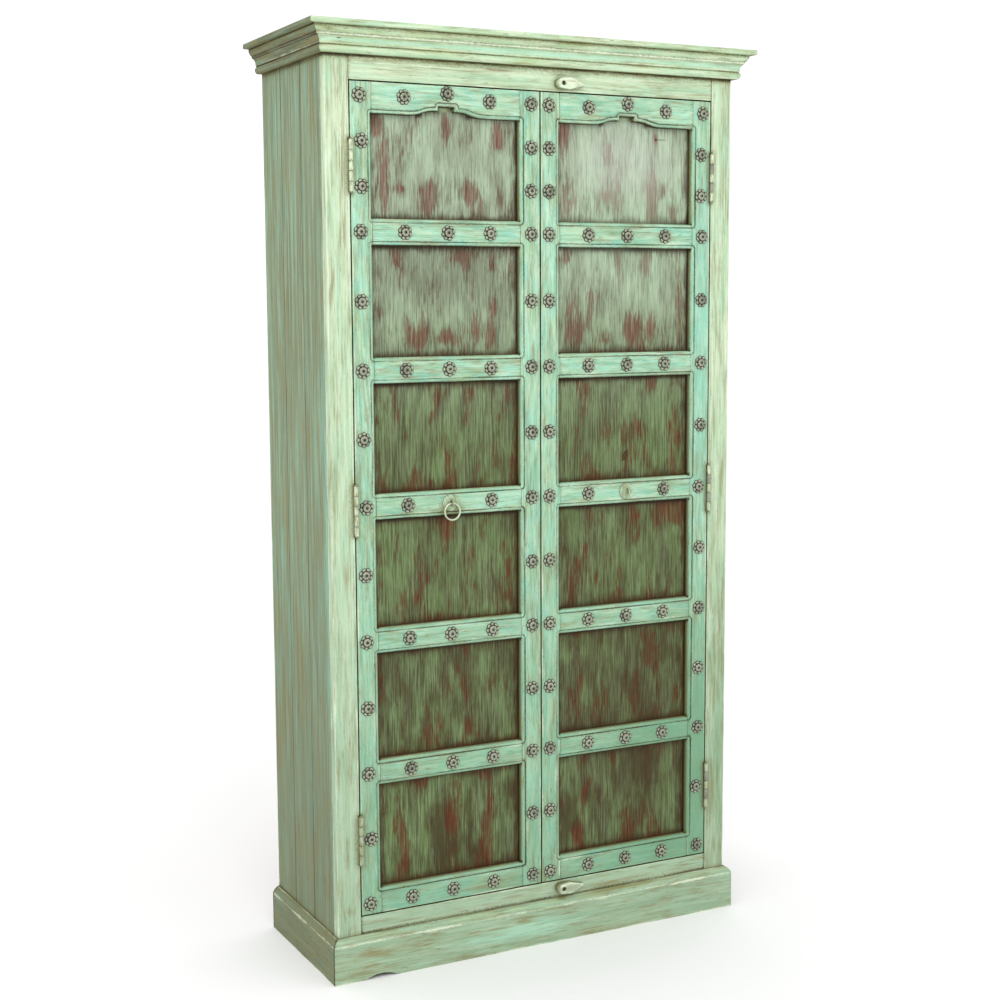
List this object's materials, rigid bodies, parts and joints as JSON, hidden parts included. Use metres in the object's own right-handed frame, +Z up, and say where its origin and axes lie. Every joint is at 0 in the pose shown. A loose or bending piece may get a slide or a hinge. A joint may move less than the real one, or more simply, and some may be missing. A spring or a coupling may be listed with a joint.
{
  "type": "painted two-door cabinet",
  "caption": "Tall painted wooden cabinet with studded, arched panel doors on butt hinges, a ring pull, wooden turn buttons, a stepped cornice and a plinth.",
  "frame": {"origin": "on the floor, at the middle of the overall box in plan", "axes": "+Z up, the doors face -Y, +X to the right of someone facing the doors"},
  "size_m": [1.016, 0.391, 1.9],
  "materials": {
    "door_paint": "worn mint paint over wood",
    "panel_paint": "worn grey-green paint over red-brown wood",
    "frame_paint": "worn pale mint paint over wood",
    "side_paint": "worn sage paint over wood",
    "cornice_paint": "worn pale green paint over wood",
    "plinth_paint": "worn sage paint over wood",
    "button_paint": "worn pale cream-green paint over wood",
    "bare_wood": "aged bare wood",
    "hinge_steel": "dull worn steel",
    "stud_iron": "dark worn iron",
    "pull_metal": "dull pale metal"
  },
  "bodies": {
    "carcass": {"back_boards": "bare_wood", "bottom_door_stop": "bare_wood", "cornice_front": "cornice_paint", "floor_board": "bare_wood", "frame_bottom_rail": "frame_paint", "frame_top_rail": "frame_paint", "left_cornice": "cornice_paint", "left_frame_hinge_leaves": "hinge_steel", "left_frame_hinge_screws": "hinge_steel", "left_frame_stile": "frame_paint", "left_hinge_pins": "hinge_steel", "left_plinth": "plinth_paint", "left_shelf_cleats": "bare_wood", "left_side_planks": "side_paint", "lower_shelf": "bare_wood", "middle_shelf": "bare_wood", "plinth_front": "plinth_paint", "right_cornice": "cornice_paint", "right_frame_hinge_leaves": "hinge_steel", "right_frame_hinge_screws": "hinge_steel", "right_frame_stile": "frame_paint", "right_hinge_pins": "hinge_steel", "right_plinth": "plinth_paint", "right_shelf_cleats": "bare_wood", "right_side_planks": "side_paint", "top_board": "bare_wood", "top_door_stop": "bare_wood", "turn_button_screws": "hinge_steel", "upper_shelf": "bare_wood"},
    "left_door": {"left_door_bottom_rail": "door_paint", "left_door_handle_rail": "door_paint", "left_door_hinge_leaves": "hinge_steel", "left_door_hinge_screws": "hinge_steel", "left_door_hinge_stile": "door_paint", "left_door_meeting_stile": "door_paint", "left_door_panels": "panel_paint", "left_door_rail_2": "door_paint", "left_door_rail_3": "door_paint", "left_door_rail_5": "door_paint", "left_door_rail_6": "door_paint", "left_door_rosettes": "stud_iron", "left_door_top_rail": "door_paint", "left_pull_plate": "pull_metal"},
    "right_door": {"right_door_bottom_rail": "door_paint", "right_door_handle_rail": "door_paint", "right_door_hinge_leaves": "hinge_steel", "right_door_hinge_screws": "hinge_steel", "right_door_hinge_stile": "door_paint", "right_door_meeting_stile": "door_paint", "right_door_panels": "panel_paint", "right_door_rail_2": "door_paint", "right_door_rail_3": "door_paint", "right_door_rail_5": "door_paint", "right_door_rail_6": "door_paint", "right_door_rosettes": "stud_iron", "right_door_top_rail": "door_paint", "right_pull_plate": "pull_metal"},
    "ring_pull": {"ring_pull": "pull_metal"},
    "upper_turn_button": {"upper_turn_button": "button_paint"},
    "lower_turn_button": {"lower_turn_button": "button_paint"}
  },
  "joints": [
    {"name": "left_door_swing", "type": "hinge", "parent": "carcass", "child": "left_door", "pos_m": [-0.417, -0.1606, 0.9], "axis": [0, 0, -1], "range_deg": [0, 165]},
    {"name": "right_door_swing", "type": "hinge", "parent": "carcass", "child": "right_door", "pos_m": [0.417, -0.1606, 0.9], "axis": [0, 0, 1], "range_deg": [0, 165]},
    {"name": "ring_swing", "type": "hinge", "parent": "left_door", "child": "ring_pull", "pos_m": [-0.20863, -0.1638, 0.9641], "axis": [-1, 0, 0], "range_deg": [-8, 150]},
    {"name": "upper_button_turn", "type": "hinge", "parent": "carcass", "child": "upper_turn_button", "pos_m": [0.046, -0.1555, 1.809], "axis": [0, 1, 0], "range_deg": [-20, 90]},
    {"name": "lower_button_turn", "type": "hinge", "parent": "carcass", "child": "lower_turn_button", "pos_m": [0.046, -0.1555, 0.1145], "axis": [0, -1, 0], "range_deg": [-20, 90]}
  ]
}
